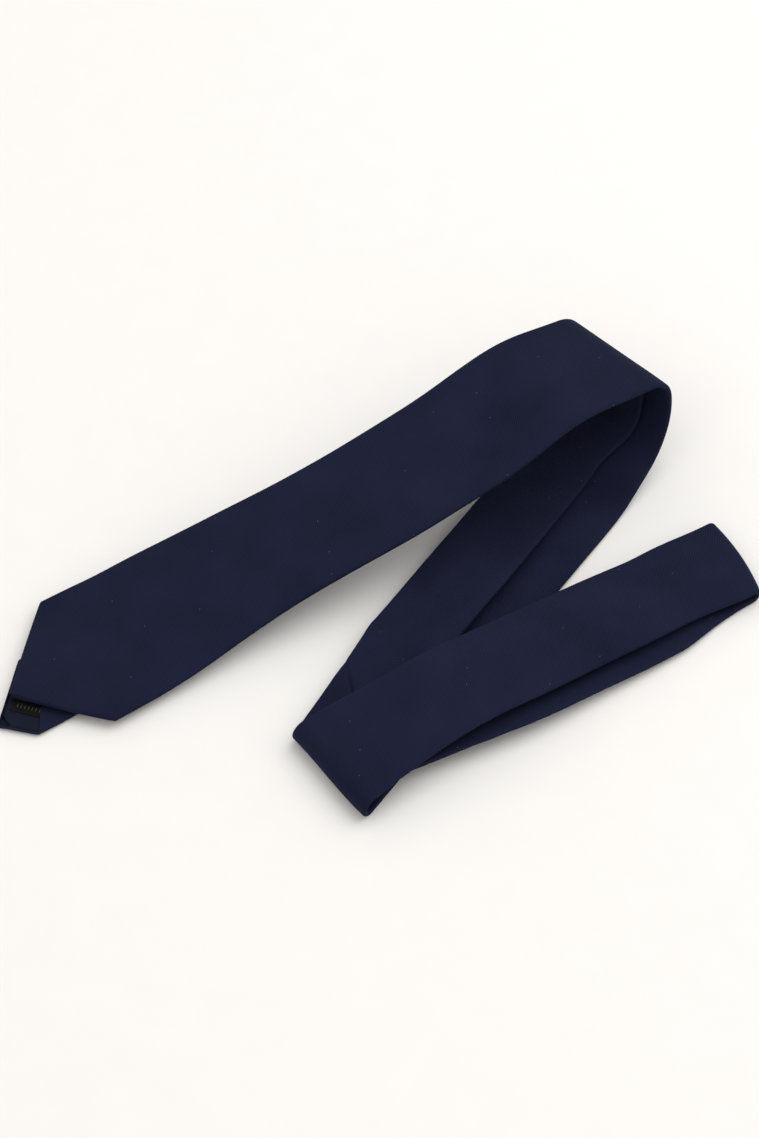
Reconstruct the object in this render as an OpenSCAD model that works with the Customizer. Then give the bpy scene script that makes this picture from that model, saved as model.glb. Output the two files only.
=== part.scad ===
// A slim necktie laid down folded: doubled at the neck, then folded twice more.
// Three bias-cut shell pieces, each a flat sleeve round one interlining, run from the
// blade tip, round two open folds to the neck fold, and back inside them to the tail tip.
// Every sleeve is drawn in the flat, as stations along the tie, and place() lays it down.

/* [Widths] */
// Width across the shoulders of the blade
shoulder_w = 68.5; // [60:0.5:75]
// Width of the blade where it goes over the top fold
loop_w = 55.5; // [50:0.5:60]
// Width halfway between the blade tip and the neck fold
mid_w = 49; // [42:0.5:52]
// Width at the lower fold
roll_w = 46; // [40:0.5:48]
// Width at the neck fold, the middle of the tie
neck_w = 40; // [36:0.5:44]
// Width of the tail where it lies on the back of the blade
tail_mid_w = 33.5; // [28:0.5:38]
// Width across the shoulders of the tail
tail_w = 35.5; // [30:0.5:40]

/* [Lengths] */
// From the blade tip to the neck fold, along the cloth
half_len = 741.6; // [725:0.1:800]
// Length of the blade's point, from its tip to its shoulders
point_len = 30.5; // [26:0.5:34]
// From the blade tip to the start of the rise into the loop
rise_start = 33.6; // [32:0.1:60]
// Straight part of that rise
rise_len = 143; // [110:1:160]
// From the blade tip to the lower fold
low_fold = 534.6; // [520:0.1:560]
// How far the tail tip lies past the blade tip
tail_past = 9.9; // [4:0.1:14]
// From the middle of the seam between the blade and neck shells to the lower fold
blade_seam_back = 48; // [42:1:60]
// From the middle of the seam between the tail and neck shells to the lower fold
tail_seam_back = 15; // [14:1:24]

/* [Layers] */
// Thickness of the shell cloth
shell_t = 0.4; // [0.3:0.05:0.45]
// Thickness of the wool interlining
lining_t = 0.78; // [0.7:0.01:1]
// Thickness of the tipping cloth
tipping_t = 0.3; // [0.2:0.05:0.35]
// Thickness of the label
label_t = 0.12; // [0.1:0.01:0.2]
// Air left between pieces that lie on each other inside one run
ease = 0.05; // [0.03:0.01:0.08]
// Air between blade and tail where they lie back to back
back_air = 0.4; // [0.3:0.1:1]
// Extra air between them at the blade end, where the keeper is
keeper_air = 0.8; // [0.7:0.1:1.5]
// Extra air between them in the loop of the top fold
loop_air = 2; // [1:0.1:2.5]

/* [Folds] */
// Slope of the rise from the blade tip to the top of the loop
rise_slope = 11.9; // [8:0.1:13]
// Radius of the tight turn at the top of the loop
crest_r = 9.5; // [8:0.1:12]
// Radius of the wide turn down its side
side_r = 28.9; // [24:0.1:32]
// Slope at which the loop comes down to the table
fall_slope = 19; // [15:0.5:25]
// Radius of the roll at the lower fold
roll_r = 5.9; // [5.8:0.1:8]
// Height that the neck part arches up past the lower fold
arch_rise = 5; // [3:0.5:8]
// Radius of the shell where it turns at the neck fold
neck_r = 3.5; // [3:0.1:4]

/* [Trim] */
// Width of the turned edge of the shell at both tips
hem_w = 10; // [8:0.5:12]
// From the tail tip to the mitred end of the turned edge
tail_mitre = 12; // [9:0.5:14]
// From a tip to the bar tack where the turned edges meet
tack_at = 105; // [90:1:130]
// Length of the bar tacks
tack_l = 7; // [5:0.5:9]
// From the blade tip to the keeper loop
keeper_at = 215; // [190:1:240]
// Width of the keeper loop along the tie
keeper_w = 10; // [8:0.5:14]
// Span of the keeper loop across the tie
keeper_span = 34; // [28:1:40]
// Length of the label on the tail's tipping
label_l = 14; // [10:1:16]
// Width of that label
label_w = 6; // [4:0.5:7]

/* [Hidden] */

// Colours
navy = [0.115, 0.128, 0.202];
wool = [0.86, 0.85, 0.8];
satin = [0.1, 0.12, 0.18];
thread = [0.09, 0.1, 0.17];
black = [0.09, 0.09, 0.1];

// Where the blade tip lies, which way the tie leaves it, and the ways across the two folds
tip_at = [-145.8, -57.7];
blade_way = 32.3;
top_way = 44.4;
low_way = 225.3;
// How far the neck fold is from square across the tie
neck_skew = tan(10);
// How much the stations of the blade's point lean from square across
tip_skew = 0.065;
// The blade end bows to its left near its tip, then to its right; the neck part lies to the left
tip_sway = 2.8;
sway_w = 2.5;
neck_sway = 2.3;
// The lower fold leans: it lies this much further out for each mm along it, fading over this reach
lean = tan(10);
lean_reach = 55;
// The side offset of the tail from the blade: at the tips, between the folds, and at the neck
tail_off_tip = -2;
tail_off_mid = 10;
tail_off_neck = -7;
// The tail's point is this far from the middle of its width, and its edges widen at this rate
tail_point_off = -5.8;
tail_point_slope = 1.04;

// Thickness of one run of the tie: all its layers, one on another between two of shell
tie_t = 2 * shell_t + lining_t + tipping_t + label_t + 4 * ease;
// Height of the front of the blade at its tip, over the tail's end
tip_z = 2 * tie_t + back_air + keeper_air + 0.1;
// Radii of the long soft bends in the rise, the fall, and the arch of the neck part
rise_r = 195;
fall_r = 52.6;
arch_r = 58;
arch_up = 7;
arch_down = 6;
// Flat stretch at the top of the loop, and between the pieces of the arch
crest_flat = 19.5;
arch_flat = 8;

// ---- Profiles: lists of [length, turn in degrees], seen from the side across a fold ----

// A soft step of height h: bend by slope, straight, bend back
function step(h, slope, r) =
    let (bends = 2 * r * (1 - cos(slope)), turn = abs(slope) * PI / 180)
    [[r * turn, slope], [(h - bends) / sin(abs(slope)), 0], [r * turn, -slope]];

rise = [[rise_r * rise_slope * PI / 180, rise_slope], [rise_len, 0],
        [rise_r * rise_slope * PI / 180, -rise_slope]];
crest_z = tip_z + 2 * rise_r * (1 - cos(rise_slope)) + rise_len * sin(rise_slope);
fall_len = (crest_z - crest_r - side_r * cos(fall_slope) - fall_r * (1 - cos(fall_slope)))
    / sin(fall_slope);
loop = [[crest_flat, 0], [crest_r * PI / 2, -90], [side_r * (90 - fall_slope) * PI / 180, fall_slope - 90],
        [fall_len, 0], [fall_r * fall_slope * PI / 180, -fall_slope]];
top_profile = concat(rise, loop);

neck_top = 2 * neck_r + 0.1;
arch_top = 2 * roll_r + arch_rise;
low_profile = concat([[PI * roll_r, 180], [2, 0]], step(arch_rise, -arch_up, arch_r), [[arch_flat, 0]],
    step(arch_top - neck_top, arch_down, arch_r));

function length_of(pieces, i = 0) = i == len(pieces) ? 0 : pieces[i].x + length_of(pieces, i + 1);

// Where a piece that starts at p = [x, z, heading] ends, after length l and a turn t
function piece_end(p, l, t) =
    abs(t) < 0.000001 ? [p.x + l * cos(p.z), p.y + l * sin(p.z), p.z]
    : let (r = l * 180 / (t * PI))
      [p.x + r * (sin(p.z + t) - sin(p.z)), p.y - r * (cos(p.z + t) - cos(p.z)), p.z + t];

// [x, z, heading] at the distance q along a profile, straight before its start and after its end
function along(pieces, q, i = 0, p = [0, 0, 0]) =
    i == len(pieces) || q <= 0 ? piece_end(p, q, 0)
    : q <= pieces[i].x ? piece_end(p, q, pieces[i].y * q / pieces[i].x)
    : along(pieces, q - pieces[i].x, i + 1, piece_end(p, pieces[i].x, pieces[i].y));

// ---- place(): lays the flat tie down round the two folds ----

function unit(a) = [cos(a), sin(a)];

// The run between the folds: the first fold mirrors the tie's way across the fold line
mid_way = 2 * (top_way + 90) - blade_way;
top_end = along(top_profile, length_of(top_profile));
mid_from = tip_at + rise_start * unit(blade_way) + (top_end.x + length_of(top_profile)) * unit(top_way);
low_from = mid_from + (low_fold - rise_start) * unit(mid_way);

// One fold, for a point d along and v across from its start: o is the plan point there, z0 its
// height, way the profile's heading in plan, a the tie's, side and face 1 before the first fold
function laid(pieces, o, z0, way, a, side, face, d, v, n) =
    let (
        q = d * cos(a - way) - side * v * sin(a - way),
        u = d * sin(a - way) + side * v * cos(a - way),
        c = along(pieces, q),
        plan = o + (c.x - sin(c.z) * face * n) * unit(way) + u * unit(way + 90)
    )
    [plan.x, plan.y, z0 + c.y + cos(c.z) * face * n];

// The lower fold's lean, as a small sideways shift of the plan that fades away from the fold
function leant(p) =
    let (
        x = (p.x - low_from.x) * cos(low_way) + (p.y - low_from.y) * sin(low_way),
        u = (p.y - low_from.y) * cos(low_way) - (p.x - low_from.x) * sin(low_way),
        shift = lean * u * exp(-(x * x + u * u) / pow(lean_reach, 2))
    )
    [p.x + shift * cos(low_way), p.y + shift * sin(low_way), p.z];

// The point s along from the blade tip, v across to the blade's left, n out of its front
function place(s, v, n) = leant(
    (s - low_fold) * cos(mid_way - low_way) + v * sin(mid_way - low_way) > 0
    ? laid(low_profile, low_from, 0, low_way, mid_way, -1, -1, s - low_fold, v, n)
    : laid(top_profile, tip_at + rise_start * unit(blade_way), tip_z, top_way, blade_way, 1, 1,
        s - rise_start, v, n));

// Stations lie along the fold lines there: s grows by this much for each mm across
top_skew = tan(blade_way - top_way);
low_skew = -tan(mid_way - low_way);

// ---- The flat tie ----

function smooth(a, b, x) = let (t = max(0, min(1, (x - a) / (b - a)))) t * t * (3 - 2 * t);
function mix(a, b, t) = a + (b - a) * t;

// Places along the tie, as distances from the blade tip
loop_start = rise_start + length_of(rise) / cos(blade_way - top_way);
loop_end = rise_start + length_of(top_profile) / cos(blade_way - top_way);
roll_end = low_fold + PI * roll_r / cos(mid_way - low_way);

// Half the width of the blade side and of the tail side, away from the tips
function blade_half(s) = (s < half_len / 2
    ? mix(loop_w, mid_w, smooth(0.75 * loop_start, half_len / 2, s))
      + (shoulder_w - loop_w) * (1 - smooth(point_len / 2, 0.56 * loop_start, s))
    : s < low_fold ? mix(mid_w, roll_w, (s - half_len / 2) / (low_fold - half_len / 2))
    : mix(roll_w, neck_w, smooth(low_fold, low_fold + 60, s))) / 2;
function tail_half(s) = s < 400
    ? mix(tail_w, tail_mid_w, smooth(60, 400, s)) / 2
    : mix(tail_mid_w, neck_w, smooth(400, half_len, s)) / 2;

// How far both sides bow sideways
function sway(s) = tip_sway * smooth(-20, 57, s) * (1 - smooth(0.25 * loop_start, 0.67 * loop_start, s))
    - sway_w * smooth(0.37 * loop_start, 0.67 * loop_start, s) * (1 - smooth(0.77 * loop_start, loop_start, s))
    + neck_sway * smooth(low_fold, roll_end + 15, s) * (1 - smooth(half_len - 30, half_len, s));

// Sideways place of the tail
function tail_off(s) = s < 400
    ? mix(tail_off_tip, tail_off_mid, smooth(20, 360, s))
    : mix(tail_off_mid, tail_off_neck, smooth(low_fold - 58, low_fold + 112, s))
      * (1 - smooth(half_len - 40, half_len, s));

// Height of the tail's front over the table past the lower fold, where it crosses the runs below
function under_z(s) = mix(2 * roll_r - 2 * tie_t - back_air, 0.1, smooth(roll_end + 45, half_len - 20, s));

// Distance from the front of the blade to the front of the tail, back to back
function pair_t(s) = s > roll_end + 2
    ? along(low_profile, (s - low_fold) * cos(mid_way - low_way)).y - under_z(s)
    : 2 * tie_t + back_air + keeper_air * (1 - smooth(loop_start - 40, loop_start, s))
      + loop_air * smooth(loop_start - 40, loop_start, s) * (1 - smooth(loop_end - 30, loop_end + 20, s));

// A point of a run: a across, b deep from its front, at the station [s, skew, turn], where turn
// is 0 on the blade side, 180 on the tail side, and between them round the neck fold
function at(st, a, b) =
    let (
        v = a + sway(st.x) + (st.z == 180 ? tail_off(st.x) : 0),
        s = st.x + st.y * v,
        g = pair_t(s - v * (s > loop_end ? low_skew : top_skew)) / 2
    )
    place(s + (g - b) * sin(st.z), v, (g - b) * cos(st.z) - g);

// Stations [s, skew, turn]: n of them from a to b
function run(a, b, n, skew, turn = 0) = [for (i = [0:n - 1]) [mix(a, b, i / (n - 1)), skew, turn]];
// How many stations cover a length at most step apart
function count(length, step) = max(2, ceil(length / step) + 1);
// Stations that turn evenly from one skewed line across the tie to another
function fan(from, to, n, turn = 0) = [for (i = [0:n - 1]) let (t = i / (n - 1))
    [mix(from.x, to.x, t), mix(from.y, to.y, t), turn]];
// Stations round the profile's pieces first to last, at most 16 degrees or 20 mm apart
function round_stations(pieces, from, c, skew, turn, first, last) =
    [for (i = [first:last]) let (
        q0 = i == 0 ? 0 : length_of([for (j = [0:i - 1]) pieces[j]]),
        n = ceil(max(abs(pieces[i].y) / 16, pieces[i].x / 20)))
     for (k = [0:n - 1]) [from + (q0 + pieces[i].x * k / n) / c, skew, turn]];
function backwards(list) = [for (i = [len(list) - 1:-1:0]) list[i]];
function tail_side(list) = backwards([for (p = list) [p.x, p.y, 180]]);

// Gaps where a run is divided, and where two shells are seamed
gap = 0.1;
seam_gap = 0.3;
// The seams cross the tie at 45 degrees, along the straight grain of the bias-cut cloth
blade_seam = [low_fold - blade_seam_back, 1];
tail_seam = [low_fold - tail_seam_back, -1];
function beside(seam, d, turn) = [seam.x + d, seam.y, turn];
tip_stations = [for (d = [0.8, 5, point_len / 3, 2 * point_len / 3, point_len]) [d, tip_skew, 0]];
blade_stations = concat(tip_stations,
    run(point_len + 11, loop_start - gap, count(loop_start - point_len - 11, 13.9), top_skew));
loop_stations = concat([[loop_start + gap, top_skew, 0]],
    [for (p = round_stations(top_profile, rise_start, cos(blade_way - top_way), top_skew, 0, 3, 7))
        if (p.x > loop_start + 1) p], [[loop_end, top_skew, 0]]);
upper_stations = fan([loop_end + gap, top_skew], [blade_seam.x - seam_gap, blade_seam.y],
    count(blade_seam.x - loop_end, 31));
roll_stations = concat(
    [[low_fold - 3, low_skew, 0]],
    round_stations(low_profile, low_fold, cos(mid_way - low_way), low_skew, 0, 0, 0),
    [[roll_end, low_skew, 0]]);
outer_roll = concat([beside(blade_seam, seam_gap, 0)], roll_stations);
inner_roll = tail_side(concat([beside(tail_seam, seam_gap, 180)], roll_stations));
neck_n = ceil((half_len - roll_end) / 10.5);
neck_run = [for (i = [0:neck_n]) let (t = i / neck_n)
    [mix(roll_end + 2 * gap, half_len, t), mix(low_skew, neck_skew, smooth(0.3, 1, t)), 0]];
neck_turn = [for (t = [20:20:160]) [half_len, neck_skew, t]];
neck_stations = concat(neck_run, neck_turn, tail_side(neck_run));
tail_loop = [for (p = round_stations(top_profile, rise_start, cos(blade_way - top_way), top_skew, 0, 0, 7))
    if (p.x > rise_start - 1) p];
tail_tip = [for (d = [0.8, 6, 12, 17, 23, 34]) [d - tail_past, 0, 180]];
tail_stations = concat([beside(tail_seam, -seam_gap, 180)],
    tail_side(run(loop_end + 15, tail_seam.x - 40, count(tail_seam.x - loop_end - 55, 51), 0)),
    tail_side(tail_loop), backwards(tail_tip));

// Distance of a station from the tip of its own side
function from_tip(st) = st.z == 0 ? st.x : st.z == 180 ? st.x + tail_past : half_len;
// How far the edge on one side, 1 or -1, is from the middle line
function reach(st, side) = st.z == 180
    ? min(tail_half(st.x), tail_point_slope * from_tip(st) + side * tail_point_off)
    : st.z == 0 ? min(blade_half(st.x), from_tip(st) * shoulder_w / 2 / point_len) : neck_w / 2;
// Half width, side shift of the middle, and reach of the turned edges at a station
function half_at(st) = (reach(st, 1) + reach(st, -1)) / 2;
function shift_at(st) = (reach(st, 1) - reach(st, -1)) / 2;
function flap_at(st) =
    let (d = from_tip(st), h = half_at(st),
        hem = st.z == 180 ? max(0.5, min(hem_w, 1.6 * (d - tail_mitre))) : hem_w)
    min(h - 0.3, mix(hem, h, smooth(shoulder_w / 3, tack_at, d)));

// ---- Solids ----

// Skins rings that are each an outer list of points and an inner one of the same length
module loft(rings, inside_out = false) {
    m = len(rings[0]) / 2;
    c = 2 * m;
    last = (len(rings) - 1) * c;
    sides = [for (i = [0:len(rings) - 2], j = [0:c - 1]) let (k = (j + 1) % c)
        for (f = [[i * c + j, i * c + k, i * c + c + j], [i * c + k, i * c + c + k, i * c + c + j]]) f];
    caps = [for (j = [0:m - 2]) let (k = c - 1 - j)
        for (f = [[j, k, j + 1], [j + 1, k, k - 1],
            [last + j, last + j + 1, last + k], [last + j + 1, last + k - 1, last + k]]) f];
    faces = concat(sides, caps);
    polyhedron(
        points = [for (r = rings, p = r) p],
        faces = inside_out ? [for (f = faces) [f[0], f[2], f[1]]] : faces,
        convexity = 8);
}

// A turned edge, from the front over to the back, as [across, deep], inset by i
function edge(h, i) = let (r = tie_t / 2, wide = min(1, 0.4 * h / r))
    [for (t = [-72:36:72]) [h - wide * (r - (r - i) * cos(t)), r + (r - i) * sin(t)]];
function mirrored(list) = backwards([for (p = list) [-p.x, p.y]]);
function skin_path(h, flap, i) = concat(
    [[-(h - flap), tie_t - i]], mirrored(edge(h, i)), [[-h / 3, i], [h / 3, i]],
    edge(h, i), [[h - flap, tie_t - i]]);

// The shell: cloth round the front, with both edges turned over to the back
module shell(stations) {
    loft([for (st = stations) let (h = half_at(st), f = flap_at(st), x = shift_at(st))
        concat(
            [for (p = skin_path(h, f, 0)) at(st, x + p.x, p.y)],
            backwards([for (p = skin_path(h, f, shell_t)) at(st, x + p.x, p.y)]))]);
}

// A flat strip inside or on a run, from depth b0 to b1, w(half) wide each side of its middle
module strip(stations, b0, b1, trim, w = 0) {
    loft([for (st = stations) let (
        h = w > 0 ? w : half_at(st) - trim,
        m = (w > 0 ? w : half_at(st)) / 3,
        x = shift_at(st))
        concat([for (a = [-h, -m, m, h]) at(st, x + a, b1)],
            [for (a = [h, m, -m, -h]) at(st, x + a, b0)])], true);
}

// The stations between two distances from a tip
function between(stations, d0, d1) = [for (st = stations) if (from_tip(st) > d0 && from_tip(st) < d1) st];

lining_b = shell_t + ease;
tipping_b = lining_b + lining_t + ease;
trim_in = shell_t + tie_t / 3;
lining_from = 10;
tipping_from = 4;
tack_w = 1.8;
stitch_w = 0.4;

module lining(stations) color(wool)
    strip(between(stations, lining_from, 2 * half_len), lining_b, lining_b + lining_t, trim_in);
module slip_stitch(stations) color(thread)
    strip(between(stations, tack_at + tack_l, 2 * half_len), tie_t - shell_t + ease, tie_t - ease, 0,
        stitch_w / 2);

// The tipping fills the open back, from near the tip to past the bar tack
module tipping(stations) color(satin) strip(between(stations, tipping_from, tack_at + 2 * tack_l),
    tipping_b, tipping_b + tipping_t, trim_in + ease);

module bar_tack(stations) color(thread) strip(stations, tie_t + ease, tie_t + ease + tipping_t, 0, tack_w / 2);
tack_stations = run(tack_at, tack_at + tack_l, 2, top_skew);

// The keeper: a band of shell cloth across the back, its ends sewn under the turned edges
module keeper_loop() color(navy) strip(
    [for (d = [-0.5, 0.5]) [keeper_at + d * keeper_w, top_skew, 0]],
    tie_t + ease, tie_t + ease + shell_t, 0, keeper_span / 2);

// The label lies at a slant across the tail's tipping
module tail_label() color(black) {
    b = tipping_b + tipping_t + ease;
    corners = [for (c = [[-1, -1], [-1, 1], [1, 1], [1, -1]]) [c.x * label_l / 2, c.y * label_w / 2]];
    points = concat([for (c = corners) label_point(c, b)], [for (c = corners) label_point(c, b + label_t)]);
    polyhedron(points, [[0, 1, 2], [0, 2, 3], [4, 6, 5], [4, 7, 6], [0, 4, 1], [1, 4, 5],
        [1, 5, 2], [2, 5, 6], [2, 6, 3], [3, 6, 7], [3, 7, 0], [0, 7, 4]]);
}
// Middle of the label, from the tail tip and across, and its slant
label_at = [14.4, -5.3];
label_turn = 50;
function label_point(c, b) = at(
    [label_at.x - tail_past + c.x * cos(label_turn) + c.y * sin(label_turn), 0, 180],
    label_at.y - c.x * sin(label_turn) + c.y * cos(label_turn), b);

// A row of seam stitches across a run, along its joining seam
module seam_thread(seam, turn) color(thread) {
    h = turn == 180 ? tail_half(seam.x) : blade_half(seam.x);
    w = h - 2 * tie_t;
    loft([for (a = [-w, -h / 3, h / 3, w])
        [for (p = [[-gap / 2, lining_b - ease], [gap / 2, lining_b - ease], [gap / 2, ease], [-gap / 2, ease]])
            at(beside(seam, p.x, turn), a, p.y)]], turn == 180);
}

module blade_shell() color(navy) shell(blade_stations);
module blade_interlining() lining(blade_stations);
module blade_tipping() tipping(blade_stations);
module blade_slip_stitch() slip_stitch(blade_stations);
module blade_bar_tack() bar_tack(tack_stations);
module blade_shell_fold() color(navy) shell(loop_stations);
module blade_interlining_fold() lining(loop_stations);
module blade_slip_stitch_fold() slip_stitch(loop_stations);
module blade_shell_upper() color(navy) shell(upper_stations);
module blade_interlining_upper() lining(upper_stations);
module blade_slip_stitch_upper() slip_stitch(upper_stations);
module neck_shell_folds() color(navy) {
    shell(outer_roll);
    shell(inner_roll);
}
module neck_interlining_folds() {
    lining(outer_roll);
    lining(inner_roll);
}
module neck_slip_stitch_folds() {
    slip_stitch(outer_roll);
    slip_stitch(inner_roll);
}
module neck_shell() color(navy) shell(neck_stations);
module neck_interlining() lining(neck_stations);
module neck_slip_stitch() slip_stitch(neck_stations);
module tail_shell() color(navy) shell(tail_stations);
module tail_interlining() lining(tail_stations);
module tail_tipping() tipping(tail_stations);
module tail_slip_stitch() slip_stitch(tail_stations);
module tail_bar_tack() bar_tack(tail_side(tack_stations));
module blade_seam_thread() seam_thread(blade_seam, 0);
module tail_seam_thread() seam_thread(tail_seam, 180);

blade_shell();
blade_interlining();
blade_tipping();
blade_slip_stitch();
blade_bar_tack();
keeper_loop();
blade_shell_fold();
blade_interlining_fold();
blade_slip_stitch_fold();
blade_shell_upper();
blade_interlining_upper();
blade_slip_stitch_upper();
neck_shell_folds();
neck_interlining_folds();
neck_slip_stitch_folds();
neck_shell();
neck_interlining();
neck_slip_stitch();
tail_shell();
tail_interlining();
tail_tipping();
tail_slip_stitch();
tail_bar_tack();
tail_label();
blade_seam_thread();
tail_seam_thread();
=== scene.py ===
# %% [markdown]
# # A slim necktie, laid down folded
# A necktie is a flat sleeve of bias-cut cloth round a strip of wool interlining. This one
# is doubled at the neck, back to back, and the pair is laid down in two more open folds.
# The fixed frame already says where each part lies, so this script gives the same parts
# their real softness and cloth: it works in millimetres and turns them to metres once.

# %% Load the fixed frame
import bpy
import numpy as np
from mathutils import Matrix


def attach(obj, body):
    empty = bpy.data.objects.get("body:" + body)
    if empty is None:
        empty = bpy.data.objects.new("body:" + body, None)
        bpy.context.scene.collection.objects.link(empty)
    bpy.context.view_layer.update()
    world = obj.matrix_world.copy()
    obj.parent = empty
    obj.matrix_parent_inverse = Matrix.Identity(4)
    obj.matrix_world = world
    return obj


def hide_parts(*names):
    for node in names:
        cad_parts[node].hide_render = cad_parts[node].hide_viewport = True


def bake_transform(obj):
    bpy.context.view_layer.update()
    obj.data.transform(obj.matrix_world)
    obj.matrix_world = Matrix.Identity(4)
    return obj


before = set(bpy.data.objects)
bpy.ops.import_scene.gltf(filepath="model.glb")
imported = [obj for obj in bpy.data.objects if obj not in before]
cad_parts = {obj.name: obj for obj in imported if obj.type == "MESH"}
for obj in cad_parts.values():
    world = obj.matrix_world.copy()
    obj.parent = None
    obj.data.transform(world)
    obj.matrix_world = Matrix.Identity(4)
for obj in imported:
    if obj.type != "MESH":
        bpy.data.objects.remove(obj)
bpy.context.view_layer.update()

# %% [markdown]
# ## The camera
# A long lens from well above keeps the runs of the tie nearly parallel, as in a catalogue
# picture. The camera could track an empty, but a plain turn about X is all it needs: at
# elevation e above the table it is turned 90 - e degrees up from looking straight down.

# %% Camera
MM = 0.001
LOOK_AT = np.array([-2.3, 12.2, 0.0]) * MM
ELEVATION = np.radians(49.3)
DISTANCE = 1.21875
FOCAL_MM = 143.1

camera_data = bpy.data.cameras.new("camera")
camera_data.lens = FOCAL_MM
camera_data.sensor_fit = "HORIZONTAL"
camera_data.clip_end = 20
camera = bpy.data.objects.new("camera", camera_data)
camera.location = LOOK_AT + DISTANCE * np.array([0, -np.cos(ELEVATION), np.sin(ELEVATION)])
camera.rotation_euler = (np.pi / 2 - ELEVATION, 0, 0)
bpy.context.collection.objects.link(camera)
bpy.context.scene.camera = camera
print("camera at", np.round(camera.location, 3))

# %% [markdown]
# ## How a flat strip lies round a fold
# Cloth hardly stretches, so a folded tie is a flat strip rolled onto cylinders. Seen from
# the side, each fold is a chain of straight stretches and arcs. A point of the strip is
# named by s, along from the blade tip, v, across to the blade's left, and n, out of its
# front. A simulation could drop the strip, but it would not stop in these very folds, and
# a formula gives the same cloth every time.

# %% Side profiles of the two folds: lists of (length, turn in degrees)
TIE_T, BACK_AIR, KEEPER_AIR, LOOP_AIR = 2.2, 0.4, 0.8, 2.0
RISE_START, LOW_FOLD, HALF_LEN, TAIL_PAST = 33.6, 534.6, 741.6, 9.9
RISE_R, RISE_SLOPE, RISE_LEN = 195.0, 11.9, 143.0
CREST_FLAT, CREST_R, SIDE_R, FALL_SLOPE, FALL_R = 19.5, 9.5, 28.9, 19.0, 52.6
ROLL_R, ARCH_RISE, ARCH_R, ARCH_UP, ARCH_DOWN, ARCH_FLAT = 5.9, 5.0, 58.0, 7.0, 6.0, 8.0
NECK_R = 3.5
TIP_Z = 2 * TIE_T + BACK_AIR + KEEPER_AIR + 0.1


def arc(radius, degrees):
    """An arc of a profile: (radius times angle, angle)."""
    return radius * np.radians(abs(degrees)), degrees


def soft_step(height, slope, radius):
    """A soft step: bend by slope, go straight, bend back, over a height."""
    bends = 2 * radius * (1 - np.cos(np.radians(slope)))
    straight = (height - bends) / np.sin(np.radians(abs(slope)))
    return [arc(radius, slope), (straight, 0), arc(radius, -slope)]


rise = [arc(RISE_R, RISE_SLOPE), (RISE_LEN, 0), arc(RISE_R, -RISE_SLOPE)]
crest_z = (TIP_Z + 2 * RISE_R * (1 - np.cos(np.radians(RISE_SLOPE)))
           + RISE_LEN * np.sin(np.radians(RISE_SLOPE)))
fall_len = (crest_z - CREST_R - SIDE_R * np.cos(np.radians(FALL_SLOPE))
            - FALL_R * (1 - np.cos(np.radians(FALL_SLOPE)))) / np.sin(np.radians(FALL_SLOPE))
TOP_PROFILE = rise + [(CREST_FLAT, 0), arc(CREST_R, -90), arc(SIDE_R, FALL_SLOPE - 90),
                      (fall_len, 0), arc(FALL_R, -FALL_SLOPE)]
arch_top = 2 * ROLL_R + ARCH_RISE
LOW_PROFILE = [arc(ROLL_R, 180), (2.0, 0)] + soft_step(ARCH_RISE, -ARCH_UP, ARCH_R) + [
    (ARCH_FLAT, 0)] + soft_step(arch_top - 2 * NECK_R - 0.1, ARCH_DOWN, ARCH_R)


def length_of(pieces):
    return sum(length for length, turn in pieces)


def along(pieces, q):
    """x, z and heading at each distance q: every piece adds the chord of the part of its
    arc that q has passed, and before the start and after the end it runs on straight."""
    q = np.asarray(q, float)
    x, z, heading, left = np.minimum(q, 0), 0 * q, 0 * q, np.maximum(q, 0)
    for length, turn in pieces:
        step = np.minimum(left, length)
        bend = np.radians(turn) * step / length
        chord = step * np.sinc(bend / (2 * np.pi))
        x = x + chord * np.cos(heading + bend / 2)
        z = z + chord * np.sin(heading + bend / 2)
        heading, left = heading + bend, left - step
    return x + left * np.cos(heading), z + left * np.sin(heading), heading


print("profile lengths", round(length_of(TOP_PROFILE), 1), round(length_of(LOW_PROFILE), 1))

# %% Where the folds lie on the table
TIP_AT = np.array([-145.8, -57.7])
BLADE_WAY, TOP_WAY, LOW_WAY = np.radians([32.3, 44.4, 225.3])
MID_WAY = 2 * (TOP_WAY + np.pi / 2) - BLADE_WAY
NECK_SKEW = np.tan(np.radians(10))
LEAN, LEAN_REACH = np.tan(np.radians(10)), 55.0


def unit(angle):
    return np.array([np.cos(angle), np.sin(angle)])


top_from = TIP_AT + RISE_START * unit(BLADE_WAY)
top_end_x = float(along(TOP_PROFILE, length_of(TOP_PROFILE))[0])
mid_from = top_from + (top_end_x + length_of(TOP_PROFILE)) * unit(TOP_WAY)
low_from = mid_from + (LOW_FOLD - RISE_START) * unit(MID_WAY)
TOP_SKEW = np.tan(BLADE_WAY - TOP_WAY)
LOW_SKEW = -np.tan(MID_WAY - LOW_WAY)
LOOP_START = RISE_START + length_of(rise) / np.cos(BLADE_WAY - TOP_WAY)
LOOP_END = RISE_START + length_of(TOP_PROFILE) / np.cos(BLADE_WAY - TOP_WAY)
ROLL_END = LOW_FOLD + np.pi * ROLL_R / np.cos(MID_WAY - LOW_WAY)
print("lower fold starts at", np.round(low_from, 1), "loop from", round(LOOP_START, 1))


def laid(pieces, origin, z0, way, tie_way, side, face, d, v, n):
    """One fold. q is the distance along the profile and u across it, found by turning
    (d, v) by the angle between tie and fold; n then stands off at right angles to it."""
    turn = tie_way - way
    q = d * np.cos(turn) - side * v * np.sin(turn)
    u = d * np.sin(turn) + side * v * np.cos(turn)
    x, z, heading = along(pieces, q)
    out = x - np.sin(heading) * face * n
    across = unit(way + np.pi / 2)
    return np.stack([origin[0] + out * np.cos(way) + u * across[0],
                     origin[1] + out * np.sin(way) + u * across[1],
                     z0 + z + np.cos(heading) * face * n], axis=-1)


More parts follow.
